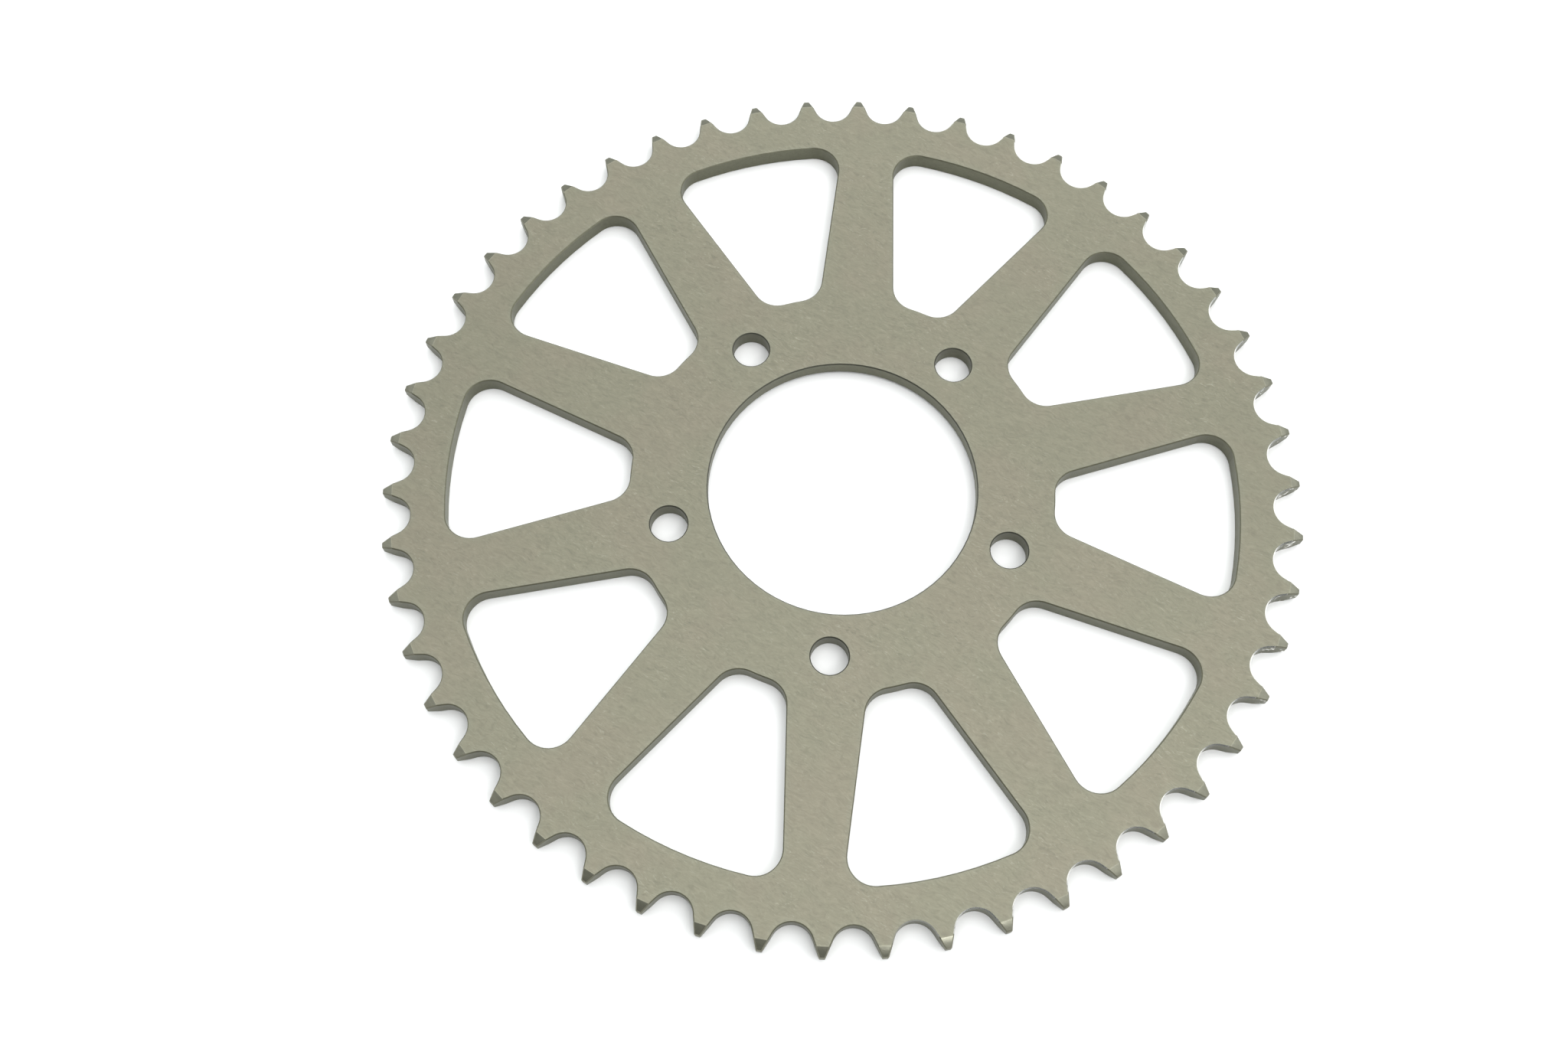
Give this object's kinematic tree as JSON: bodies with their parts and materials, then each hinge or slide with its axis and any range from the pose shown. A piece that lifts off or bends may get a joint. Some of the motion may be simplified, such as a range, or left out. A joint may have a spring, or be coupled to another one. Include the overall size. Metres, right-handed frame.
{
  "type": "motorcycle rear sprocket",
  "caption": "Flat one-piece rear sprocket for a motorcycle chain drive, with windowed spokes, a plain hub bore and a ring of bolt holes.",
  "frame": {"origin": "centre of the hub bore on the face that seats against the hub", "axes": "+Z along the wheel axis, from the hub side to the outer face; -Y through the centre of one bolt hole; +X to the right of it seen from +Z"},
  "size_m": [0.259, 0.2592, 0.0058],
  "materials": {
    "anodised_plate": "hard-anodised, dull olive grey, satin"
  },
  "bodies": {
    "root": {"sprocket_plate": "anodised_plate"}
  },
  "joints": []
}
